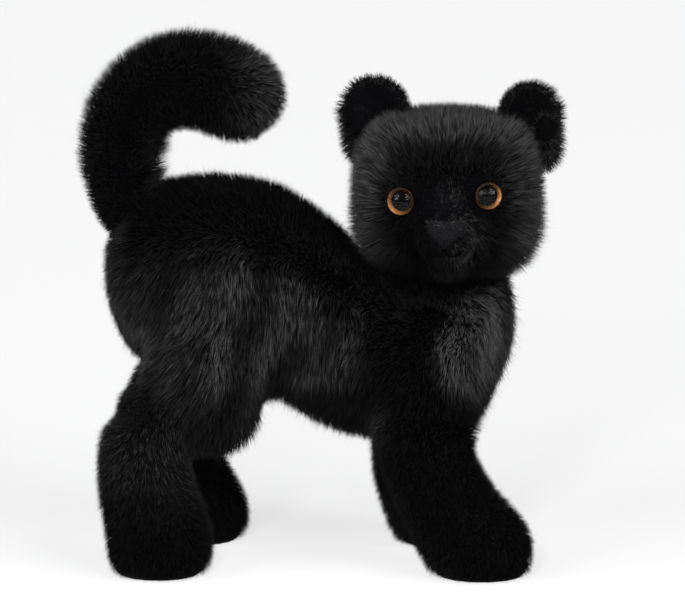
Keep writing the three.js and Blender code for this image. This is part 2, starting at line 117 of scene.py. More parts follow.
def broad_light(name, azimuth, height, spread_angle, strength):
    """A far lamp that lights the cat and the whole floor alike, and looks so many degrees wide."""
    data = bpy.data.lights.new(name, "SUN")
    data.angle = math.radians(spread_angle)
    data.energy = strength
    aimed(bpy.data.objects.new(name, data), azimuth, height, KEY_DISTANCE, LOOK_AT)


def softbox(name, azimuth, height, distance, size, power):
    """A small lamp near the viewer, which the eyes' lenses reflect."""
    data = bpy.data.lights.new(name, "AREA")
    data.shape = "RECTANGLE"
    data.size, data.size_y = size
    data.energy = power
    aimed(bpy.data.objects.new(name, data), azimuth, height, distance, LOOK_AT)


def make_world():
    """White where it is seen, and a dim even fill where it lights the cat."""
    world = bpy.data.worlds.new("studio")
    world.use_nodes = True
    nodes, links = world.node_tree.nodes, world.node_tree.links
    nodes.clear()
    seen = nodes.new("ShaderNodeBackground")
    seen.inputs["Color"].default_value = (0.93, 0.93, 0.935, 1)
    fill = nodes.new("ShaderNodeBackground")
    fill.inputs["Color"].default_value = (0.9, 0.94, 1, 1)
    fill.inputs["Strength"].default_value = 0.05
    path = nodes.new("ShaderNodeLightPath")
    mix = nodes.new("ShaderNodeMixShader")
    out = nodes.new("ShaderNodeOutputWorld")
    links.new(path.outputs["Is Camera Ray"], mix.inputs["Fac"])
    links.new(fill.outputs[0], mix.inputs[1])
    links.new(seen.outputs[0], mix.inputs[2])
    links.new(mix.outputs[0], out.inputs["Surface"])
    bpy.context.scene.world = world


def make_floor():
    mesh = bpy.data.meshes.new("floor")
    corners = [(x * FLOOR_HALF, y * FLOOR_HALF, 0) for x, y in ((-1, -1), (1, -1), (1, 1), (-1, 1))]
    mesh.from_pydata(corners, [], [(0, 1, 2, 3)])
    floor = bpy.data.objects.new("floor", mesh)
    bpy.context.scene.collection.objects.link(floor)
    material, shader = new_material("floor_white")
    shader.inputs["Base Color"].default_value = (0.28, 0.28, 0.282, 1)
    shader.inputs["Roughness"].default_value = 0.9
    shader.inputs["Specular IOR Level"].default_value = 0.0
    shader.inputs["Emission Color"].default_value = (1, 1, 1, 1)
    shader.inputs["Emission Strength"].default_value = 0.705
    mesh.materials.append(material)


# ---- materials ------------------------------------------------------------------------------

# The pile's sheen and shade are painted into the strands' tone rather than given by gloss.
PILE_GLOSS = 0.03  # black pile hardly shines: its light comes from the strands' own tone


def new_material(name):
    material = bpy.data.materials.new(name)
    material.use_nodes = True
    return material, material.node_tree.nodes["Principled BSDF"]


def ramp(tree, source, stops):
    """A colour ramp fed by a socket, from (place, colour) stops."""
    node = tree.nodes.new("ShaderNodeValToRGB")
    elements = node.color_ramp.elements
    while len(elements) < len(stops):
        elements.new(0.5)
    for element, (place, colour) in zip(elements, stops):
        element.position = place
        element.color = (*colour, 1)
    tree.links.new(source, node.inputs["Fac"])
    return node.outputs["Color"]


def spread(tree, source, low, high):
    """A 0 to 1 socket mapped to low to high."""
    node = tree.nodes.new("ShaderNodeMapRange")
    node.inputs["To Min"].default_value = low
    node.inputs["To Max"].default_value = high
    tree.links.new(source, node.inputs["Value"])
    return node.outputs["Result"]


def multiplied(tree, first, second):
    node = tree.nodes.new("ShaderNodeMix")
    node.data_type = "RGBA"
    node.blend_type = "MULTIPLY"
    node.inputs["Factor"].default_value = 1
    tree.links.new(first, node.inputs["A"])
    tree.links.new(second, node.inputs["B"])
    return node.outputs["Result"]


def noise(tree, scale, detail=3.0, roughness=0.6):
    place = tree.nodes.new("ShaderNodeTexCoord")
    node = tree.nodes.new("ShaderNodeTexNoise")
    node.inputs["Scale"].default_value = scale
    node.inputs["Detail"].default_value = detail
    node.inputs["Roughness"].default_value = roughness
    tree.links.new(place.outputs["Object"], node.inputs["Vector"])
    return node.outputs["Fac"]


def bump(tree, shader, height, strength, distance):
    node = tree.nodes.new("ShaderNodeBump")
    node.inputs["Strength"].default_value = strength
    node.inputs["Distance"].default_value = distance
    tree.links.new(height, node.inputs["Height"])
    tree.links.new(node.outputs["Normal"], shader.inputs["Normal"])


def pile_material(name, dark, middle, light, roughness=(0.38, 0.52)):
    """The pile's strands. Their map's u is a strand's tone, which carries the coat's painted sheen and
    shade, and v runs from root to tip, along which each strand is painted darker towards its root, as
    painted shade deep in the pile.
    """
    material, shader = new_material(name)
    tree = material.node_tree
    uv = tree.nodes.new("ShaderNodeUVMap")
    uv.uv_map = "OFBake"
    split = tree.nodes.new("ShaderNodeSeparateXYZ")
    tree.links.new(uv.outputs["UV"], split.inputs["Vector"])
    tone, along = split.outputs["X"], split.outputs["Y"]
    # Painted shade: each strand is painted a tenth as light at its root as at its tip.
    depth = ramp(tree, along, [(0, (0.1,) * 3), (0.5, (0.5,) * 3), (1, (1,) * 3)])
    strand = ramp(tree, tone, [(0, dark), (0.5, middle), (1, light)])
    tree.links.new(multiplied(tree, strand, depth), shader.inputs["Base Color"])
    tree.links.new(spread(tree, tone, *roughness), shader.inputs["Roughness"])
    shader.inputs["Specular IOR Level"].default_value = PILE_GLOSS
    return material


def grained_material(name, colour, roughness, scale, contrast=1.12, depth=0.0, metallic=0.0,
                     gloss=0.5):
    """A plain material with a fine grain in its colour, its gloss and, to a depth, its surface."""
    material, shader = new_material(name)
    tree = material.node_tree
    grain = noise(tree, scale)
    light = tuple(min(1.0, contrast * c) for c in colour)
    tree.links.new(ramp(tree, grain, [(0.3, colour), (0.8, light)]), shader.inputs["Base Color"])
    tree.links.new(spread(tree, grain, *roughness), shader.inputs["Roughness"])
    shader.inputs["Metallic"].default_value = metallic
    shader.inputs["Specular IOR Level"].default_value = gloss
    if depth:
        bump(tree, shader, grain, 0.6, depth)
    return material


def glass_material(name):
    """Clear moulded plastic. Lamps shine through it on to the ring behind."""
    material, shader = new_material(name)
    tree = material.node_tree
    shader.inputs["Base Color"].default_value = (1, 0.97, 0.92, 1)
    shader.inputs["Roughness"].default_value = 0.02
    shader.inputs["IOR"].default_value = 1.22
    shader.inputs["Transmission Weight"].default_value = 1.0
    path = tree.nodes.new("ShaderNodeLightPath")
    clear = tree.nodes.new("ShaderNodeBsdfTransparent")
    mix = tree.nodes.new("ShaderNodeMixShader")
    tree.links.new(path.outputs["Is Shadow Ray"], mix.inputs["Fac"])
    tree.links.new(shader.outputs[0], mix.inputs[1])
    tree.links.new(clear.outputs[0], mix.inputs[2])
    tree.links.new(mix.outputs[0], tree.nodes["Material Output"].inputs["Surface"])
    return material


def iris_material(name, inner, outer):
    """Amber plastic, with streaks that run out from the pupil, a painted highlight on one side and a
    painted glow. The ring's map has the turn round the eye in u, and the place from its inner to its
    outer edge in v."""
    material, shader = new_material(name)
    tree = material.node_tree
    uv = tree.nodes.new("ShaderNodeUVMap")
    uv.uv_map = "ring"
    stretch = tree.nodes.new("ShaderNodeMapping")
    stretch.inputs["Scale"].default_value = (46, 2.2, 1)
    tree.links.new(uv.outputs["UV"], stretch.inputs["Vector"])
    streaks = tree.nodes.new("ShaderNodeTexNoise")
    streaks.inputs["Scale"].default_value = 1
    streaks.inputs["Detail"].default_value = 3
    tree.links.new(stretch.outputs["Vector"], streaks.inputs["Vector"])
    split = tree.nodes.new("ShaderNodeSeparateXYZ")
    tree.links.new(uv.outputs["UV"], split.inputs["Vector"])
    dark = tuple(0.25 * c for c in inner)
    base = ramp(tree, split.outputs["Y"], [(0, dark), (0.25, inner), (0.8, outer), (1, dark)])
    # Painted highlight: the ring is painted up to twice as light on one side, where light would gather
    # through the lens, and dimmer across from it; its map's turn starts there.
    painted_highlight = ramp(tree, split.outputs["X"], [(0, (2.0,) * 3), (0.16, (0.5,) * 3), (0.3, (0.1,) * 3),
                                           (0.7, (0.1,) * 3), (0.84, (0.5,) * 3), (1, (2.0,) * 3)])
    base = multiplied(tree, base, painted_highlight)
    mottle = ramp(tree, streaks.outputs["Fac"], [(0.3, (0.5, 0.42, 0.35)), (0.7, (1.25, 1.2, 1.1))])
    colour = multiplied(tree, base, mottle)
    tree.links.new(colour, shader.inputs["Base Color"])
    # Painted glow: the ring gives off its own colour as light, though it is no lamp.
    tree.links.new(colour, shader.inputs["Emission Color"])
    shader.inputs["Emission Strength"].default_value = 0.25
    shader.inputs["Specular IOR Level"].default_value = 0.1
    tree.links.new(spread(tree, streaks.outputs["Fac"], 0.2, 0.35), shader.inputs["Roughness"])
    return material


# ---- meshes and arrays ------------------------------------------------------------------------

def coordinates(mesh):
    flat = np.empty(3 * len(mesh.vertices))
    mesh.vertices.foreach_get("co", flat)
    return flat.reshape(-1, 3)


def vertex_normals(mesh):
    flat = np.empty(3 * len(mesh.vertices))
    mesh.vertices.foreach_get("normal", flat)
    return flat.reshape(-1, 3)


def triangles(mesh):
    mesh.calc_loop_triangles()
    flat = np.empty(3 * len(mesh.loop_triangles), dtype=np.int64)
    mesh.loop_triangles.foreach_get("vertices", flat)
    return flat.reshape(-1, 3)


def move_to(mesh, points):
    mesh.vertices.foreach_set("co", np.ascontiguousarray(points).ravel())
    mesh.update()


def unit(vectors):
    return vectors / np.maximum(np.linalg.norm(vectors, axis=-1, keepdims=True), 1e-12)


def smoothstep(value, low, high):
    t = np.clip((value - low) / (high - low), 0, 1)
    return t * t * (3 - 2 * t)


def between(low, high, share):
    return low + (high - low) * share


def corners_of(node):
    low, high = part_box(node)
    return np.array(low), np.array(high)


def middle_of(node):
    return sum(corners_of(node)) / 2


def new_object(name, mesh):
    piece = bpy.data.objects.new(name, mesh)
    bpy.context.scene.collection.objects.link(piece)
    return piece


def applied(piece):
    """The piece with its modifiers applied."""
    graph = bpy.context.evaluated_depsgraph_get()
    mesh = bpy.data.meshes.new_from_object(piece.evaluated_get(graph))
    piece.modifiers.clear()
    piece.data = mesh
    return piece


def shade_smooth(mesh):
    mesh.polygons.foreach_set("use_smooth", np.ones(len(mesh.polygons), dtype=bool))


def largest_island(mesh):
    """Keeps only the biggest connected part, so that no bubble is left inside it."""
    work = bmesh.new()
    work.from_mesh(mesh)
    left = set(work.verts)
    best = set()
    while left:
        front = [left.pop()]
        island = set(front)
        while front:
            vert = front.pop()
            for edge in vert.link_edges:
                other = edge.other_vert(vert)
                if other in left:
                    left.remove(other)
                    island.add(other)
                    front.append(other)
        if len(island) > len(best):
            best = island
    bmesh.ops.delete(work, geom=[v for v in work.verts if v not in best], context="VERTS")
    work.to_mesh(mesh)
    work.free()
    mesh.update()


def relax(mesh, rounds, amount=1.0):
    """Smooths a mesh and keeps its volume: each pass in is followed by one out. amount, from 0
    to 1, may differ from point to point."""
    points = coordinates(mesh)
    ends = np.empty(2 * len(mesh.edges), dtype=np.int64)
    mesh.edges.foreach_get("vertices", ends)
    a, b = ends.reshape(-1, 2).T
    degree = np.bincount(np.concatenate([a, b]), minlength=len(points))[:, None]
    share = np.broadcast_to(np.asarray(amount, dtype=float), len(points))[:, None]
    for turn in range(rounds * 2):
        total = np.empty_like(points)
        for axis in range(3):
            total[:, axis] = np.bincount(a, points[b, axis], len(points))
            total[:, axis] += np.bincount(b, points[a, axis], len(points))
        points = points + (0.6, -0.61)[turn % 2] * share * (total / degree - points)
    move_to(mesh, points)


def skin(name, nodes, voxel, rounds, plugs=()):
    """One closed skin round copies of CAD nodes: joined, remeshed and smoothed. Each plug is the
    centre and three radii of a filling that rounds off a hollow."""
    work = bmesh.new()
    for node in nodes:
        work.from_mesh(NODES[node].data)
    for centre, radii in plugs:
        place = Matrix.Translation(centre) @ Matrix.Diagonal((*radii, 1))
        bmesh.ops.create_icosphere(work, subdivisions=4, radius=1, matrix=place)
    mesh = bpy.data.meshes.new(name)
    work.to_mesh(mesh)
    work.free()
    piece = new_object(name, mesh)
    remesh = piece.modifiers.new("remesh", "REMESH")
    remesh.mode = "VOXEL"
    remesh.voxel_size = voxel
    applied(piece)
    largest_island(piece.data)
    relax(piece.data, rounds)
    return piece


def stuff(pieces, cap, pressure=4.0, frames=20):
    """Fills skins like stuffed cloth: a short cloth simulation under pressure. No point moves
    further than cap, times how free it is: each entry is (skin, free(points))."""
    scene = bpy.context.scene
    before = [coordinates(piece.data) for piece, _ in pieces]
    for piece, _ in pieces:
        cloth = piece.modifiers.new("cloth", "CLOTH")
        cloth.settings.use_pressure = True
        cloth.settings.uniform_pressure_force = pressure
        cloth.settings.effector_weights.gravity = 0
        cloth.settings.tension_stiffness = 12
        cloth.settings.compression_stiffness = 12
        cloth.settings.bending_stiffness = 0.6
        cloth.collision_settings.use_collision = False
        cloth.point_cache.frame_start = 1
        cloth.point_cache.frame_end = frames
    for step in range(1, frames + 1):
        scene.frame_set(step)
    graph = bpy.context.evaluated_depsgraph_get()
    for (piece, free), start in zip(pieces, before):
        swollen = coordinates(piece.evaluated_get(graph).data)
        shift = swollen - start
        size = np.linalg.norm(shift, axis=1, keepdims=True)
        piece.modifiers.clear()
        shift *= np.minimum(1, cap / np.maximum(size, 1e-9))
        move_to(piece.data, start + shift * free(start)[:, None])
        relax(piece.data, 3)
    scene.frame_set(1)


def draw_in(piece, depth, floor=None):
    """Moves a skin in along its normals by depth(points), to leave room for the pile."""
    points = coordinates(piece.data)
    points -= vertex_normals(piece.data) * depth(points)[:, None]
    if floor is not None:
        points[:, 2] = np.maximum(points[:, 2], floor)
    move_to(piece.data, points)
    fine = piece.modifiers.new("fine", "SUBSURF")
    fine.levels = fine.render_levels = 1
    applied(piece)
    shade_smooth(piece.data)


def cut_piece(name, source, cuts):
    """A closed copy of what lies behind every cut. A cut is (point, normal, where): faces on the
    normal's side are taken off, where their centres pass the test."""
    work = bmesh.new()
    work.from_mesh(source.data)
    for point, normal, where in cuts:
        chosen = {face for face in work.faces if where(face.calc_center_median())}
        geometry = chosen | {e for f in chosen for e in f.edges} | {v for f in chosen for v in f.verts}
        bmesh.ops.bisect_plane(work, geom=list(geometry), plane_co=point, plane_no=normal, dist=1e-7)
        beyond = [face for face in work.faces if where(face.calc_center_median())
                  and (face.calc_center_median() - point).dot(normal) > 0]
        bmesh.ops.delete(work, geom=beyond, context="FACES")
    rims = [edge for edge in work.edges if edge.is_boundary]
    bmesh.ops.holes_fill(work, edges=rims, sides=0)
    bmesh.ops.triangulate(work, faces=[face for face in work.faces if len(face.verts) > 4])
    bmesh.ops.recalc_face_normals(work, faces=work.faces[:])
    mesh = bpy.data.meshes.new(name)
    work.to_mesh(mesh)
    work.free()
    shade_smooth(mesh)
    return new_object(name, mesh)


def turned(name, profile, place, material, sides=72):
    """A body turned round the Z axis of place, from (radius, height) pairs in metres. It closes
    on the axis where the profile touches it, and on itself where it doesn't. Its map has the turn
    in u and the way along the profile in v."""
    work = bmesh.new()
    layer = work.loops.layers.uv.new("ring")
    rings = []
    for radius, height in profile:
        if radius == 0:
            rings.append([work.verts.new(place @ Vector((0, 0, height)))] * sides)
            continue
        turns = [2 * math.pi * j / sides for j in range(sides)]
        rings.append([work.verts.new(place @ Vector((radius * math.cos(t), radius * math.sin(t), height)))
                      for t in turns])
    closed = profile[0][0] > 0
    count = len(profile) if closed else len(profile) - 1
    for i in range(count):
        low, high = rings[i], rings[(i + 1) % len(rings)]
        for j in range(sides):
            k = (j + 1) % sides
            spots = [(low[j], j, i), (low[k], j + 1, i), (high[k], j + 1, i + 1), (high[j], j, i + 1)]
            verts, unique = [], []
            for spot in spots:
                if spot[0] not in verts:
                    verts.append(spot[0])
                    unique.append(spot)
            face = work.faces.new(verts)
            for loop, (_, u, v) in zip(face.loops, unique):
                loop[layer].uv = (u / sides, v / max(1, count))
    bmesh.ops.recalc_face_normals(work, faces=work.faces[:])
    mesh = bpy.data.meshes.new(name)
    work.to_mesh(mesh)
    work.free()
    mesh.materials.append(material)
    shade_smooth(mesh)
    return new_object(name, mesh)


# ---- the pile ---------------------------------------------------------------------------------

# How the pile lies at each root: the way it is combed, its length, its lean from the normal at the root
# and at the tip in radians, how wide a strand is, how far a tip is drawn to its tuft's, from 0 to 1, and
# how light the strands are, from 0 to 1, which is mostly painted sheen and painted shade for how light
# falls on the pile there.
Coat = namedtuple("Coat", "flow length lean bend width gather shine")


def roots_on(mesh, density, rng):
    """Points spread evenly over a skin, so many in a square millimetre, and the normals there."""
    points, normals, corners = coordinates(mesh), vertex_normals(mesh), triangles(mesh)
    a, b, c = (points[corners[:, i]] for i in range(3))
    areas = np.linalg.norm(np.cross(b - a, c - a), axis=1) / 2
    count = int(areas.sum() / MM ** 2 * density)
    picks = np.searchsorted(np.cumsum(areas), rng.random(count) * areas.sum())
    picks = np.minimum(picks, len(areas) - 1)
    u, v = rng.random((2, count))
    fold = u + v > 1
    u[fold], v[fold] = 1 - u[fold], 1 - v[fold]
    weights = [share[:, None] for share in (1 - u - v, u, v)]
    spots = sum(points[corners[picks, i]] * weights[i] for i in range(3))
    ways = unit(sum(normals[corners[picks, i]] * weights[i] for i in range(3)))
    return spots, ways


def buried(points, covers, depth):
    """Which points lie deeper than depth inside any of the covers."""
    hidden = np.zeros(len(points), dtype=bool)
    for cover in covers:
        outline = coordinates(cover.data)
        low, high = outline.min(0), outline.max(0)
        near = np.flatnonzero(((points > low) & (points < high)).all(1) & ~hidden)
        tree = BVHTree.FromPolygons(outline.tolist(), triangles(cover.data).tolist())
        for i in near:
            spot = Vector(points[i])
            place, normal, _, distance = tree.find_nearest(spot)
            hidden[i] = (spot - place).dot(normal) < 0 and distance > depth
    return hidden


def waves(points, size, seed):
    """Smooth noise with three components, mostly within -1 to 1, that turns over a length of
    size metres."""
    rng = np.random.default_rng(seed)
    total = np.zeros_like(points)
    for octave in range(3):
        turns = rng.normal(size=(3, 3)) * 2.8 / size * 1.7 ** octave
        total += np.sin(points @ turns + rng.random(3) * 2 * math.pi) / 1.6 ** octave
    return total / 2


def tufts(spots, spacing, rng):
    """The tuft that each root belongs to: the nearest of one root picked in each cell."""
    picked = {}
    for i in rng.permutation(len(spots)):
        picked.setdefault(tuple((spots[i] // spacing).astype(int)), i)
    tree = KDTree(len(picked))
    for number, i in enumerate(picked.values()):
        tree.insert(spots[i], number)
    tree.balance()
    return np.array([tree.find(spot)[1] for spot in spots.tolist()]), len(picked)


def mean_of(values, group, groups):
    """The mean of some vectors over each group, given back for each member."""
    count = np.maximum(np.bincount(group, minlength=groups), 1)[:, None]
    total = np.stack([np.bincount(group, values[:, k], groups) for k in range(3)], 1)
    return (total / count)[group]


def strand_mesh(name, lines, width, tone, side, material):
    """Closed tapered strands with three sides. lines holds the roots, any middle points and the
    tips; the map has a strand's tone in u and its length in v."""
    count, rings = len(lines[0]), len(lines) - 1
    along = unit(lines[-1] - lines[0])
    across = unit(np.cross(along, side))
    over = np.cross(along, across)
    strip = 1 / 300
    corners, maps = [], []
    for ring in range(rings):
        reach = (width / 2 * (1 - 0.42 * ring / rings))[:, None]
        for k in range(3):
            turn = 2 * math.pi * k / 3
            corners.append(lines[ring] + reach * (math.cos(turn) * across + math.sin(turn) * over))
            maps.append(np.stack([tone + strip * k, np.full(count, ring / rings)], 1))
    corners.append(lines[-1])
    maps.append(np.stack([tone + strip, np.ones(count)], 1))
    tip = 3 * rings
    faces = [(2, 1, 0)]
    for low in range(0, tip - 3, 3):
        faces += [(low + k, low + (k + 1) % 3, low + 3 + (k + 1) % 3, low + 3 + k) for k in range(3)]
    faces += [(tip - 3 + k, tip - 3 + (k + 1) % 3, tip) for k in range(3)]
    index = (np.concatenate(faces)[None, :] + (tip + 1) * np.arange(count)[:, None]).ravel()
    sizes = np.tile([len(face) for face in faces], count)
    mesh = bpy.data.meshes.new(name)
    mesh.vertices.add(count * (tip + 1))
    mesh.vertices.foreach_set("co", np.stack(corners, 1).ravel())
    mesh.loops.add(len(index))
    mesh.loops.foreach_set("vertex_index", index)
    mesh.polygons.add(len(sizes))
    mesh.polygons.foreach_set("loop_start", np.concatenate([[0], np.cumsum(sizes)[:-1]]))
    layer = mesh.uv_layers.new(name="OFBake")
    layer.uv.foreach_set("vector", np.stack(maps, 1).reshape(-1, 2)[index].ravel())
    mesh.materials.append(material)
    shade_smooth(mesh)
    mesh.update(calc_edges=True)
    return mesh


STRANDS_IN_A_PIECE = 19000
FLYAWAY = 0.08  # the share of strands that stand clear of their tuft
ROOT_DEPTH = 0.3 * MM
FLOOR_CLEARANCE = 0.3 * MM
BURIED_DEPTH = 1.5 * MM  # no strand is rooted deeper than this inside a neighbouring skin


def grow(cloth, coat, parts, density, tuft, sway, seed, covers=(), label=None):
    """Grows a skin's pile and gives back its pieces by part. coat(spots, normals) is a Coat, parts
    is a list of (name, material, segments in a strand), and label(spots) is each root's part, or
    -1 for none. density is in roots to a square millimetre."""
    rng = np.random.default_rng(SEED * 1000 + seed)
    spots, normals = roots_on(cloth.data, density, rng)
    part = label(spots) if label else np.zeros(len(spots), dtype=int)
    keep = (part >= 0) & ~buried(spots, covers, BURIED_DEPTH)
    spots, normals, part = spots[keep], normals[keep], part[keep]
    count = len(spots)
    look = coat(spots, normals)

    def column(value):
        return np.broadcast_to(np.asarray(value, dtype=float), count)[:, None]

    swirl = 0.9 * waves(spots, 26 * MM, seed) + 0.5 * waves(spots, 8 * MM, -seed % 97)
    flow = unit(look.flow) + sway * swirl
    flow = unit(flow - (flow * normals).sum(1, keepdims=True) * normals)
    loose = rng.random((count, 1)) < FLYAWAY
    jitter = rng.normal(size=(count, 1)) * 0.1
    first = column(look.lean) + jitter
    last = np.where(loose, 0.6, 1.0) * column(look.bend) + jitter
    long = column(look.length) * (0.65 + 0.45 * rng.random((count, 1))) * np.where(loose, 1.2, 1.0)
    stray = unit(rng.normal(size=spots.shape)) * sway * np.where(loose, 0.7, 0.4)
    start = spots - normals * ROOT_DEPTH
    middle = start + unit(normals * np.cos(first) + flow * np.sin(first) + stray * 0.5) * long / 2
    tip = middle + unit(normals * np.cos(last) + flow * np.sin(last) + stray) * long / 2
    group, groups = tufts(spots, tuft, rng)
    pull = column(look.gather) * (0.6 + 0.8 * rng.random((groups, 1)))[group] * np.where(loose, 0.2, 1)
    tip += (mean_of(tip, group, groups) - tip) * pull
    middle += (mean_of(middle, group, groups) - middle) * pull * 0.35
    for points in (start, middle, tip):
        points[:, 2] = np.maximum(points[:, 2], FLOOR_CLEARANCE)
    tone = 0.5 * rng.random(count) + 0.5 * rng.random(groups)[group]
    # A strand's tone: its own random tone, times the coat's painted sheen and shade.
    tone = np.clip(column(look.shine)[:, 0] * (0.12 + 2.0 * tone ** 1.5), 0.004, 0.98)
    width = column(look.width)[:, 0] * (0.75 + 0.5 * rng.random(count)) * np.where(loose[:, 0], 0.7, 1)
    side = normals + stray
    order = np.argsort(spots @ np.array([1.0, 0.15, 0.4]))
    pieces = {}
    for number, (name, material, segments) in enumerate(parts):
        members = order[part[order] == number]
        shares = np.array_split(members, max(1, math.ceil(len(members) / STRANDS_IN_A_PIECE)))
        pieces[name] = []
        for turn, some in enumerate(shares, 1):
            label_text = f"{name}_{turn}" if len(shares) > 1 else name
            lines = [start[some], middle[some], tip[some]][:: 3 - segments]
            mesh = strand_mesh(label_text, lines, width[some], tone[some], side[some], material)
            pieces[name].append(new_object(label_text, mesh))
    return pieces


# ---- stage ------------------------------------------------------------------------------------

make_world()
make_camera()
make_floor()
bpy.context.scene.view_settings.view_transform = "Standard"
for lamp in KEY_LAMPS:
    broad_light(**lamp)
softbox(**WINDOW)


# ---- skins ------------------------------------------------------------------------------------

SOLE_TOP = corners_of("hind_leg_right_sole")[1][2]
TORSO_LOW = corners_of("torso_side_right")[0][2]
BELLY = corners_of("torso_belly")[0][2]
HINGES = {joint["name"]: np.array(joint["pos_m"]) for joint in frame["joints"]}
NECK = HINGES["head_turn"]
TORSO_NODES = ["torso_side_right", "torso_side_left", "torso_belly", "torso_stuffing"]
HEAD_NODES = ["head_side_right", "head_side_left", "head_gusset", "muzzle_panel", "head_stuffing"]
TAIL_NODES = ["tail_base_skin", "tail_base_stuffing", "tail_tip_skin", "tail_tip_stuffing"]
LEG_NODES = {leg: [f"{leg}_skin", f"{leg}_stuffing"] for leg in LEGS}

# A leg's pile starts at its seam: a slanting plane behind, and a level one in front.
HIND_SEAM = Vector((-0.070, 0, 0.073))
HIND_SEAM_OUT = Vector((-0.72, 0, -0.69)).normalized()
FRONT_SEAM = Vector((0, 0, TORSO_LOW + 2 * MM))
FRONT_SEAM_OUT = Vector((0, 0, -1))
SEAM_GAP = 0.15 * MM

# How far skins are held in place: wholly within the first distance, not at all past the second.
NECK_HELD = (22 * MM, 34 * MM)
FACE_HELD = (10 * MM, 20 * MM)

# How deep the skins lie inside the CAD's, in millimetres, to leave room for the pile.
BODY_DEPTH, BELLY_DEPTH, LEG_DEPTH = 4.2, 1.2, 0.9
HELD_FACE_DEPTH, FREE_HEAD_DEPTH = 0.2, 3.4  # the second is added away from the face
TAIL_DEPTH, EAR_DEPTH, SOLE_DEPTH = 3.2, -1.2, 0.2
RUMP_NICK, RUMP_NICK_REACH, RUMP_NICK_DEPTH = (-0.097, 0.090), (0.017, 0.020), 3.5
SWELL_LIMIT = 2.0 * MM  # the furthest that stuffing pushes a skin out


def beyond_seam(points):
    """How far points are beyond the seam of the legs at their end of the body."""
    hind = (points - np.array(HIND_SEAM)) @ np.array(HIND_SEAM_OUT)
    front = (points - np.array(FRONT_SEAM)) @ np.array(FRONT_SEAM_OUT)
    return np.where(points[:, 0] < 0, hind, front)


def leg_share(points):
    return smoothstep(beyond_seam(points), -16 * MM, 6 * MM)


def patch(spots, centre, reach):
    """1 near a centre in the cat's side view, and 0 beyond a reach of (along, up)."""
    away = (spots[:, [0, 2]] - np.array(centre)) / np.array(reach)
    return 1 - smoothstep(np.linalg.norm(away, axis=1), 0.55, 1.15)


def off_neck(points):
    """0 at the neck joint, where skins keep their place over its discs, and 1 away from it."""
    return smoothstep(np.linalg.norm(points - NECK, axis=1), *NECK_HELD)


FITTINGS = [middle_of(node)
            for node in ("eye_right_dome", "eye_left_dome", "nose_patch", "mouth_stitch")]


def off_face(points):
    """0 under the eyes, nose and mouth and on the neck, where the head's skin has to stay, and 1
    away from them."""
    near = np.min([np.linalg.norm(points - fitting, axis=1) for fitting in FITTINGS], axis=0)
    return smoothstep(near, *FACE_HELD) * off_neck(points)


# The pile closes over the hollow that the tail's root turns in.
RUMP_PLUG = (HINGES["tail_sway"] + np.array([14.5, 0, -12.4]) * MM, np.array([21, 27, 21]) * MM)

LEFT_EAR_TURNED_OUT = np.array([1.4, 0, -1.0]) * MM


def ear_root(side):
    """The filling that carries an ear's outer edge down into the side of the head."""
    outwards = 7 if side == "left" else -7
    return middle_of(f"ear_{side}_inner") + np.array([outwards, 2, -12]) * MM, np.array([5.5, 4, 11]) * MM


body = skin("body", TORSO_NODES + sum(LEG_NODES.values(), []), 3.4 * MM, 5, [RUMP_PLUG])
by_seam = 1 - smoothstep(np.abs(beyond_seam(coordinates(body.data))), 8 * MM, 20 * MM)
relax(body.data, 8, by_seam)
# The legs' tops run smoothly into the body's sides.
on_side = 1 - smoothstep(np.abs(beyond_seam(coordinates(body.data))), 45 * MM, 70 * MM)
relax(body.data, 300, on_side * smoothstep(np.abs(coordinates(body.data)[:, 1]), 12 * MM, 24 * MM))
head = skin("head_plush", HEAD_NODES, 2.2 * MM, 5)
tail = skin("tail", TAIL_NODES, 2.8 * MM, 6)
ears = {side: skin(f"ear_{side}_plush", [f"ear_{side}_inner", f"ear_{side}_outer"], 1.0 * MM, 4,
                   [ear_root(side)]) for side in SIDES}
soles = {leg: skin(f"{leg}_sole_plush", [f"{leg}_sole"], 0.8 * MM, 5) for leg in LEGS}
stuff([(body, off_neck), (head, off_face), (tail, lambda p: np.ones(len(p)))],
      cap=SWELL_LIMIT)


def body_depth(points):
    """Deep under the long pile, less under the belly and least in the legs, with a nick where the
    rump meets the hind legs."""
    belly = 1 - smoothstep(points[:, 2], BELLY + 4 * MM, BELLY + 22 * MM)
    depth = between(between(BODY_DEPTH, BELLY_DEPTH, belly), LEG_DEPTH, leg_share(points))
    nick = patch(points, RUMP_NICK, RUMP_NICK_REACH)
    return off_neck(points) * (depth + RUMP_NICK_DEPTH * nick) * MM


draw_in(body, body_depth, SOLE_TOP)
draw_in(head, lambda p: (HELD_FACE_DEPTH + FREE_HEAD_DEPTH * off_face(p)) * MM)
draw_in(tail, lambda p: np.full(len(p), TAIL_DEPTH * MM))
move_to(ears["left"].data, coordinates(ears["left"].data) + LEFT_EAR_TURNED_OUT)
for ear in ears.values():
    draw_in(ear, lambda p: np.full(len(p), EAR_DEPTH * MM))
for sole in soles.values():
    draw_in(sole, lambda p: np.full(len(p), SOLE_DEPTH * MM), 0.0)


def anywhere(centre):
    return True


LEG_CUTS = {
    "hind": (HIND_SEAM, HIND_SEAM_OUT, lambda centre: centre.x < 0),
    "front": (FRONT_SEAM, FRONT_SEAM_OUT, lambda centre: centre.x > 0),
}


def leg_piece(leg):
    """A leg's skin: what lies beyond its seam, on its side."""
    point, out, _ = LEG_CUTS[leg.split("_")[0]]
    back = -1 if leg.startswith("front") else 1
    side = -1 if leg.endswith("right") else 1
    return cut_piece(f"{leg}_plush", body, [
        (point + out * SEAM_GAP, -out, anywhere),
        (Vector(), Vector((back, 0, 0)), anywhere),
        (Vector(), Vector((0, -side, 0)), anywhere),
    ])


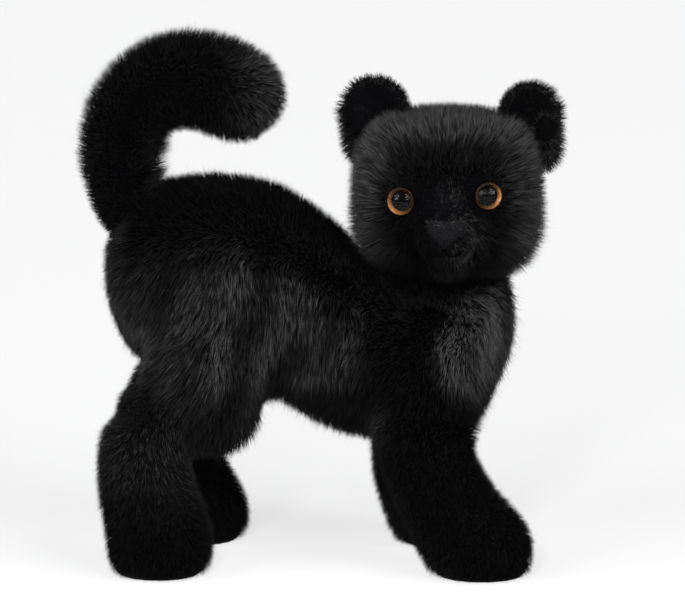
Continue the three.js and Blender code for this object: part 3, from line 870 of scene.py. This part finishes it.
torso = cut_piece("torso_plush", body, [
    (point - out * SEAM_GAP, out, where) for point, out, where in LEG_CUTS.values()])
legs = {leg: leg_piece(leg) for leg in LEGS}

# The tail bends at both of its joints, so it is two pieces that meet where only its base moves it.
TAIL_LOW, TAIL_HIGH = corners_of("tail_tip_skin")
TAIL_SEAM = Vector((0, 0, TAIL_LOW[2] - 1 * MM))
CURL = np.array([(TAIL_LOW[0] + TAIL_HIGH[0]) / 2, 0, TAIL_LOW[2] + 9 * MM])
UPWARDS = Vector((0, 0, 1))

tail_root = cut_piece("tail_root_plush", tail, [(TAIL_SEAM - UPWARDS * SEAM_GAP, UPWARDS, anywhere)])
tail_curl = cut_piece("tail_curl_plush", tail, [(TAIL_SEAM + UPWARDS * SEAM_GAP, -UPWARDS, anywhere)])

backing = grained_material("plush_backing", (0.001, 0.001, 0.0013), (0.8, 1.0), 900, 1.8, 0.4 * MM,
                           gloss=0.02)
cloths = [torso, head, tail_root, tail_curl, *legs.values(), *ears.values(), *soles.values()]
for cloth in cloths:
    cloth.data.materials.clear()
    cloth.data.materials.append(backing)


# ---- how the pile is combed ---------------------------------------------------------------------

EYES = {side: middle_of(f"eye_{side}_dome") for side in SIDES}
EYE_LINE = (EYES["right"] + EYES["left"]) / 2
NOSE = middle_of("nose_patch")
HEAD_LOW, HEAD_HIGH = coordinates(head.data).min(0), coordinates(head.data).max(0)
FACE = (EYE_LINE + NOSE) / 2 + np.array([0, 14 * MM, 0])
# The flank and chest patches set where the pile is combed down and painted with sheen.
FLANK, FLANK_REACH = (-0.043, 0.113), (0.074, 0.055)  # along and up, in the side view
CHEST, CHEST_REACH = (0.079, 0.112), (0.027, 0.030)


def body_coat(spots, normals):
    """Upright over the back, shoulders and belly, and combed down over the flanks and the chest. The
    strands are painted dark over the back, shoulders and belly, and lighter, as painted sheen, over the
    flanks, the chest, the rump and the hind shanks."""
    leg = leg_share(spots)
    top = smoothstep(normals[:, 2], 0.2, 0.8) * smoothstep(spots[:, 2], 125 * MM, 150 * MM)
    under = smoothstep(-normals[:, 2], 0.3, 0.8)
    drift = waves(spots, 45 * MM, 5)[:, 0]
    combed = np.maximum(patch(spots, FLANK, FLANK_REACH), patch(spots, CHEST, CHEST_REACH))
    mottled = 1 + 0.55 * waves(spots, 24 * MM, 8)[:, 1]
    flank = (1 - top) * (1 - 0.6 * under) * np.clip(combed + 0.2 * drift, 0, 1)
    down = np.array([-0.22, 0, -1.0]) + 0.35 * drift[:, None] * np.array([1.0, 0, 0])
    back = np.array([-1.0, 0, 0.2])
    lean = between(0.3, 0.68, flank)
    bend = between(0.5, 1.12, flank)
    rump = smoothstep(-normals[:, 0], 0.5, 0.9)
    shank = (spots[:, 0] < 0) * smoothstep(spots[:, 2], 20 * MM, 62 * MM)
    shank *= 1 - 0.75 * smoothstep(spots[:, 2], 66 * MM, 88 * MM)
    # Painted sheen: lighter higher up the flanks, mottled, and on the sides of the chest.
    painted_light_by_height = between(0.55, 1.0, smoothstep(spots[:, 2], 82 * MM, 106 * MM))
    painted_breast_light = patch(spots, CHEST, CHEST_REACH) * smoothstep(np.abs(normals[:, 1]), 0.2, 0.7)
    painted_sheen = 0.55 * mottled * painted_light_by_height + 0.45 * painted_breast_light
    from_neck = (spots - NECK) * [1, 1, 0]
    by_neck = 1 - smoothstep(np.linalg.norm(from_neck, axis=1), 38 * MM, 56 * MM)
    by_neck *= smoothstep(normals[:, 2], -0.1, 0.4)
    flow = between(between(down, back, top[:, None]), unit(from_neck), by_neck[:, None])
    return Coat(
        flow=flow,
        length=between(between(11.5, 9.2, top) - 3.5 * rump - 2.5 * by_neck, 5.8, leg) * MM,
        lean=between(lean, 0.5, leg),
        bend=between(bend, 0.85, leg),
        width=between(0.24, 0.22, leg) * MM,
        gather=between(0.26, 0.2, leg),
        # Painted sheen and shade: darker on the back's top, lighter on the rump and, in the legs, up the
        # hind shanks.
        shine=between(between(0.11, painted_sheen, flank) - 0.065 * top + 0.24 * rump,
                      between(0.14, 0.48, shank), leg),
    )


def tail_coat(spots, normals):
    """Upright and shorter at the root, and painted lightest at the tip, as painted sheen."""
    away = spots - CURL
    tip = smoothstep(spots[:, 0], TAIL_HIGH[0] - 38 * MM, TAIL_HIGH[0] - 8 * MM)
    along = spots[:, 0] - HINGES["tail_sway"][0]
    outer = (1 - smoothstep(spots[:, 2], 166 * MM, 200 * MM)) * smoothstep(-along, -4 * MM, 8 * MM)
    inner = (1 - smoothstep(spots[:, 2], 198 * MM, 212 * MM)) * smoothstep(along, 3 * MM, 10 * MM)
    under = smoothstep(-normals[:, 2], 0.3, 0.8) * smoothstep(along, 8 * MM, 20 * MM)
    return Coat(
        flow=np.cross(np.array([0, 1.0, 0]), unit(away)),
        length=(8.4 - 3.4 * outer + 5.2 * inner - 1.0 * tip - 1.4 * under) * MM,
        lean=0.22,
        bend=between(0.45, 0.75, tip),
        width=0.24 * MM,
        gather=0.25,
        shine=between(0.12, 0.62, tip),
    )


def muzzle_share(spots):
    """1 on the short pile of the muzzle and bridge of the nose, and 0 on the rest of the head."""
    size = (HEAD_HIGH - HEAD_LOW)[0]
    off = (spots - NOSE - np.array([0, 0, -2 * MM])) / (size * np.array([0.24, 1.0, 0.19]))
    bridge = (spots - EYE_LINE - np.array([0, 0, -4 * MM])) / (size * np.array([0.13, 1.0, 0.13]))
    front = spots[:, 1] < between(HEAD_LOW[1], HEAD_HIGH[1], 0.35)
    reach = np.minimum(np.linalg.norm(off, axis=1), np.linalg.norm(bridge, axis=1))
    return (1 - smoothstep(reach, 0.8, 1.2)) * front


def head_coat(spots, normals):
    """Upright in the middle of the face, and laid out from it over the cheeks and crown. The strands are
    painted light round the face and on the brow, as painted sheen, with painted shade in a vee down the
    middle of the face and on the muzzle's -X side.
    """
    away = spots - FACE
    half = (HEAD_HIGH - HEAD_LOW)[[0, 2]] / 2
    ring = np.linalg.norm(away[:, [0, 2]] / half, axis=1)
    laid = smoothstep(ring, 0.45, 0.85) * smoothstep(-normals[:, 1], 0.2, 0.8)
    flow = unit(away * [1, 0.4, 1])
    jowl = smoothstep(np.abs(away[:, 0]), 16 * MM, 34 * MM) * smoothstep(-away[:, 2], -8 * MM, 18 * MM)
    length = between(8.2, 12.0, jowl) - 0.9 * smoothstep(normals[:, 2], 0.3, 0.8)
    # Painted light round the face, with painted shade in a vee down its middle.
    painted_lit = smoothstep(ring, 0.5, 0.85) * smoothstep(away[:, 2], -34 * MM, -12 * MM)
    brow = smoothstep(away[:, 2], 14 * MM, 38 * MM)
    vee = 1 - smoothstep(np.abs(away[:, 0]), 17 * MM, 33 * MM)
    vee *= 1 - smoothstep(away[:, 2], 25 * MM, 37 * MM)
    painted_lit *= 1 - 0.85 * vee
    painted_lit = between(painted_lit, 0.25, smoothstep(normals[:, 1], -0.2, 0.5))
    for eye in EYES.values():
        from_eye = spots - eye
        distance = np.linalg.norm(from_eye, axis=1)
        flow += 1.5 * (1 - smoothstep(distance, 8 * MM, 14 * MM))[:, None] * unit(from_eye)
        length *= 0.22 + 0.78 * smoothstep(distance, 6.5 * MM, 17 * MM)
    muzzle = muzzle_share(spots)
    # Painted shade: the muzzle is painted darker on its -X side.
    muzzle_painted_shade = between(0.13, 0.58, smoothstep(away[:, 0], -9 * MM, 5 * MM))
    return Coat(
        flow=flow,
        length=between(length, np.minimum(length, 3.2), muzzle) * MM,
        lean=between(between(0.2, 0.5, laid), 0.6, muzzle),
        bend=between(between(0.4, 0.95, laid), 1.15, muzzle),
        width=between(0.23, 0.2, muzzle) * MM,
        gather=between(0.3, 0.15, muzzle),
        shine=between(between(0.12, between(0.66, 0.95, brow), painted_lit), muzzle_painted_shade, muzzle),
    )


# The soles' pile is painted light, for the light the floor throws up on them.
def sole_coat(spots, normals):
    outwards = spots - spots.mean(0)
    return Coat(flow=outwards, length=1.4 * MM, lean=0.5, bend=0.9, width=0.22 * MM, gather=0.2,
                shine=0.5)


def nose_coat(spots, normals):
    """A short flock, painted lighter towards the nose's top edge, as a painted highlight."""
    top = smoothstep(spots[:, 2], NOSE[2] - 1 * MM, NOSE[2] + 5 * MM)
    outwards = unit((spots - NOSE) * [1, 0, 1])
    mottled = 1 + 0.35 * waves(spots, 5 * MM, 12)[:, 0]
    return Coat(flow=outwards + np.array([0, 0, -0.6]), length=2.4 * MM, lean=0.5, bend=1.0,
                width=0.22 * MM, gather=0.3, shine=between(0.28, 0.56, top) * mottled)


def facing_of(node):
    """The centre of a flat round node and the way it faces, out from the head."""
    points = coordinates(NODES[node].data)
    centre = points.mean(0)
    way = np.linalg.svd(points - centre, full_matrices=False)[2][2]
    return centre, way if way[1] < 0 else -way


def ear_coat(side):
    """Velvety inside the cup, longer round the rim and on the back. The strands are painted dark in the
    cup, as painted shade, and light round the rim and on the back, as painted sheen.
    """
    centre, facing = facing_of(f"ear_{side}_inner")
    outer = np.array([0.8 if side == "left" else -0.8, 0, -0.6])
    radius = np.linalg.norm(coordinates(NODES[f"ear_{side}_inner"].data) - centre, axis=1).max()

    def coat(spots, normals):
        away = spots - centre
        away = away - (away @ facing)[:, None] * facing
        reach = np.linalg.norm(away, axis=1) / radius
        cup = smoothstep(normals @ facing, 0.2, 0.5) * (1 - smoothstep(reach, 0.6, 0.8))
        low = smoothstep(unit(away) @ outer, -0.9, 0.9)
        return Coat(
            flow=unit(away) + np.array([0, 0.15, 0]),
            length=between(between(3.4, 5.6, low), 2.2, cup) * MM,
            lean=between(0.3, 0.6, cup),
            bend=between(0.7, 1.0, cup),
            width=0.21 * MM,
            gather=0.1,
            shine=between(0.5, 0.12, cup),
        )
    return coat


# ---- the pile -------------------------------------------------------------------------------------

PILE_TONES = (0.001, 0.001, 0.0014), (0.03, 0.029, 0.0305), (0.13, 0.127, 0.13)
long_fur = pile_material("long_pile", *PILE_TONES)
short_fur = pile_material("short_pile", *PILE_TONES)
ear_fur = pile_material("ear_pile", *PILE_TONES)
# Painted light: the soles' pile is bluer, for the light the floor throws up on them.
sole_fur = pile_material("sole_pile", (0.001, 0.001, 0.0016), (0.03, 0.03, 0.036), (0.11, 0.11, 0.13))


def body_part(spots):
    """0 for the torso's roots, then 1 to 4 for each leg's."""
    leg = 1 + 2 * (spots[:, 0] > 0) + (spots[:, 1] > 0)
    return np.where(beyond_seam(spots) > 0, leg, 0)


def head_part(spots):
    """None on the underside, which lies on the neck."""
    flat = (spots[:, 2] < NECK[2] + 3 * MM) & (np.linalg.norm(spots - NECK, axis=1) < 24 * MM)
    return np.where(flat, -1, 0)


body_parts = [("torso_pile", long_fur, 2), *((f"{leg}_pile", short_fur, 1) for leg in LEGS)]
body_fur = grow(body, body_coat, body_parts,
                density=2.5, tuft=1.5 * MM, sway=0.22, seed=1, covers=[head, tail], label=body_part)
head_fur = grow(head, head_coat, [("head_pile", long_fur, 1)], density=3.0, tuft=1.6 * MM, sway=0.3,
                seed=2, covers=ears.values(), label=head_part)
tail_fur = grow(tail, tail_coat, [("tail_root_pile", long_fur, 1), ("tail_curl_pile", long_fur, 1)],
                density=2.6, tuft=1.8 * MM, sway=0.3, seed=3, covers=[body],
                label=lambda spots: np.where(spots[:, 2] < TAIL_SEAM.z, 0, 1))
ear_pile = {side: grow(ears[side], ear_coat(side), [(f"ear_{side}_pile", ear_fur, 1)], density=4.5,
                       tuft=1.6 * MM, sway=0.3, seed=20 + number, covers=[head])
            for number, side in enumerate(SIDES)}
sole_pile = {leg: grow(soles[leg], sole_coat, [(f"{leg}_sole_pile", sole_fur, 1)], density=2.0,
                       tuft=1.4 * MM, sway=0.4, seed=30 + number)
             for number, leg in enumerate(LEGS)}
bpy.data.objects.remove(body)
bpy.data.objects.remove(tail)


# ---- eyes -----------------------------------------------------------------------------------------

glass = glass_material("eye_glass")
amber = iris_material("eye_amber", (0.10, 0.042, 0.009), (0.36, 0.19, 0.06))
black = grained_material("eye_black", (0.001, 0.001, 0.001), (0.5, 0.6), 1200, gloss=0.0)


def eye_frame(side):
    """The place and way of an eye: its Z looks out, from the middle of the coloured ring, and its X
    points to the outer lower edge, where the ring's painted highlight is brightest."""
    centre, facing = facing_of(f"eye_{side}_iris")
    facing = Vector(facing)
    outer = Vector((0.95, 0, -0.3) if side == "left" else (-0.7, 0, -0.7))
    x_way = (outer - outer.dot(facing) * facing).normalized()
    y_way = facing.cross(x_way)
    turn = Matrix((x_way, y_way, facing)).transposed().to_4x4()
    return Matrix.Translation(centre) @ turn


def reach_of(node, place):
    """A round node's radius, and its lowest and highest point along a frame's Z."""
    inverse = np.array(place.inverted())
    points = coordinates(NODES[node].data) @ inverse[:3, :3].T + inverse[:3, 3]
    return np.linalg.norm(points[:, :2], axis=1).max(), points[:, 2].min(), points[:, 2].max()


def dome_profile(radius, back, low, high, steps=20):
    """A lens: flat behind, with a straight edge and, from low to high, a domed front."""
    turns = [math.pi / 2 * i / steps for i in range(steps + 1)]
    arc = [(radius * math.cos(t), low + (high - low) * math.sin(t)) for t in turns[:-1]]
    return [(0, back), (radius * 0.6, back), (radius * 0.97, back), *arc, (0, high)]


PUPIL_SHARE = 0.64  # the pupil's radius in the eye's


def make_eye(side):
    place = eye_frame(side)
    radius, low, high = reach_of(f"eye_{side}_dome", place)
    pupil = PUPIL_SHARE * radius
    rim, floor = low - 0.1 * MM, low - 1.1 * MM
    # The ring and pupil are set into the back of the lens, so nothing mirrors between them.
    dome = turned(f"eye_{side}_lens", dome_profile(radius, floor - 0.3 * MM, low, high), place, glass)
    ring = turned(f"eye_{side}_ring", [
        (pupil, floor), (between(pupil, radius, 0.3), between(floor, rim, 0.3)),
        (between(pupil, radius, 0.62), between(floor, rim, 0.62)), (radius * 0.95, rim),
        (radius * 0.97, floor - 0.5 * MM), (pupil, floor - 0.5 * MM)], place, amber)
    back = reach_of(f"eye_{side}_dish", place)[1]
    shank = 1.7 * MM
    cup = turned(f"eye_{side}_cup", [
        (0, back), (shank, back), (shank, floor - 1.6 * MM), (radius * 0.99, floor - 1.6 * MM),
        (radius * 1.03, floor - 1.2 * MM), (radius * 1.03, low), (radius * 1.0, low),
        (radius * 0.99, floor - 0.8 * MM), (pupil * 0.98, floor - 0.7 * MM),
        (pupil * 0.98, floor + 0.1 * MM), (0, floor + 0.2 * MM)], place, black)
    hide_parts(f"eye_{side}_dome")
    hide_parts(f"eye_{side}_iris")
    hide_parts(f"eye_{side}_dish")
    for piece, slot in ((dome, "clear_plastic"), (ring, "amber_iris"), (cup, "black_plastic")):
        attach(piece, "head")


for side in SIDES:
    make_eye(side)


# ---- nose and mouth -------------------------------------------------------------------------------

nose_cloth = grained_material("nose_felt", (0.005, 0.005, 0.006), (0.5, 0.7), 1600, 2.2, 0.15 * MM,
                              gloss=0.02)
thread_cloth = grained_material("thread", (0.0012, 0.0012, 0.0015), (0.45, 0.6), 2600, 1.6, 0.1 * MM,
                                gloss=0.0)

nose = skin("nose_felt", ["nose_patch"], 0.45 * MM, 30)
draw_in(nose, lambda p: np.full(len(p), 0.1 * MM))
nose.data.materials.clear()
nose.data.materials.append(nose_cloth)
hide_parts("nose_patch")
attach(nose, "head")
flock = grow(nose, nose_coat, [("nose_flock", ear_fur, 1)], density=7.0, tuft=0.8 * MM, sway=0.7, seed=50)


# ---- what each piece rides on -----------------------------------------------------------------------

def settle(pieces, body_name=None, bend=None):
    """Rides pieces on a body or, given a bend, bakes their place into their meshes."""
    for piece in pieces:
        if bend:
            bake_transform(piece)
        else:
            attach(piece, body_name)


settle([torso, *body_fur["torso_pile"]], "torso")
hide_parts(*TORSO_NODES)
settle([head, *head_fur["head_pile"]], "head")
settle(flock["nose_flock"], "head")
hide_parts(*HEAD_NODES)
for leg in LEGS:
    settle([legs[leg], *body_fur[f"{leg}_pile"]], "torso")
    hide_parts(*LEG_NODES[leg])
    settle([soles[leg], *sole_pile[leg][f"{leg}_sole_pile"]], "torso")
    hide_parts(f"{leg}_sole")
for side in SIDES:
    settle([ears[side], *ear_pile[side][f"ear_{side}_pile"]], "head")
    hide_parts(f"ear_{side}_inner", f"ear_{side}_outer")

TAIL_ROOT_X = HINGES["tail_sway"][0]
ROOT_BEND = (("torso", "tail_base"), (TAIL_ROOT_X, 0, 0.160), (TAIL_ROOT_X, 0, 0.182))
CURL_BEND = (("tail_base", "tail_tip"), (-0.093, 0, 0.198), (-0.0827, 0, 0.215))
settle([tail_root, *tail_fur["tail_root_pile"]], bend=ROOT_BEND)
settle([tail_curl, *tail_fur["tail_curl_pile"]], bend=CURL_BEND)
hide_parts("tail_base_skin", "tail_base_stuffing")
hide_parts("tail_tip_skin", "tail_tip_stuffing")

moulded = grained_material("moulded_white", (0.62, 0.62, 0.6), (0.35, 0.5), 1500)
plated = grained_material("plated_steel", (0.5, 0.5, 0.52), (0.22, 0.38), 2500, 1.3, metallic=1.0)
for node, material in {
    "neck_disc_body": moulded,
    "neck_disc_head": moulded,
    "eye_right_washer": moulded,
    "eye_left_washer": moulded,
    "neck_lock_washer": plated,
    "neck_pin": plated,
    "mouth_stitch": thread_cloth,
}.items():
    for place in NODES[node].material_slots:
        place.material = material
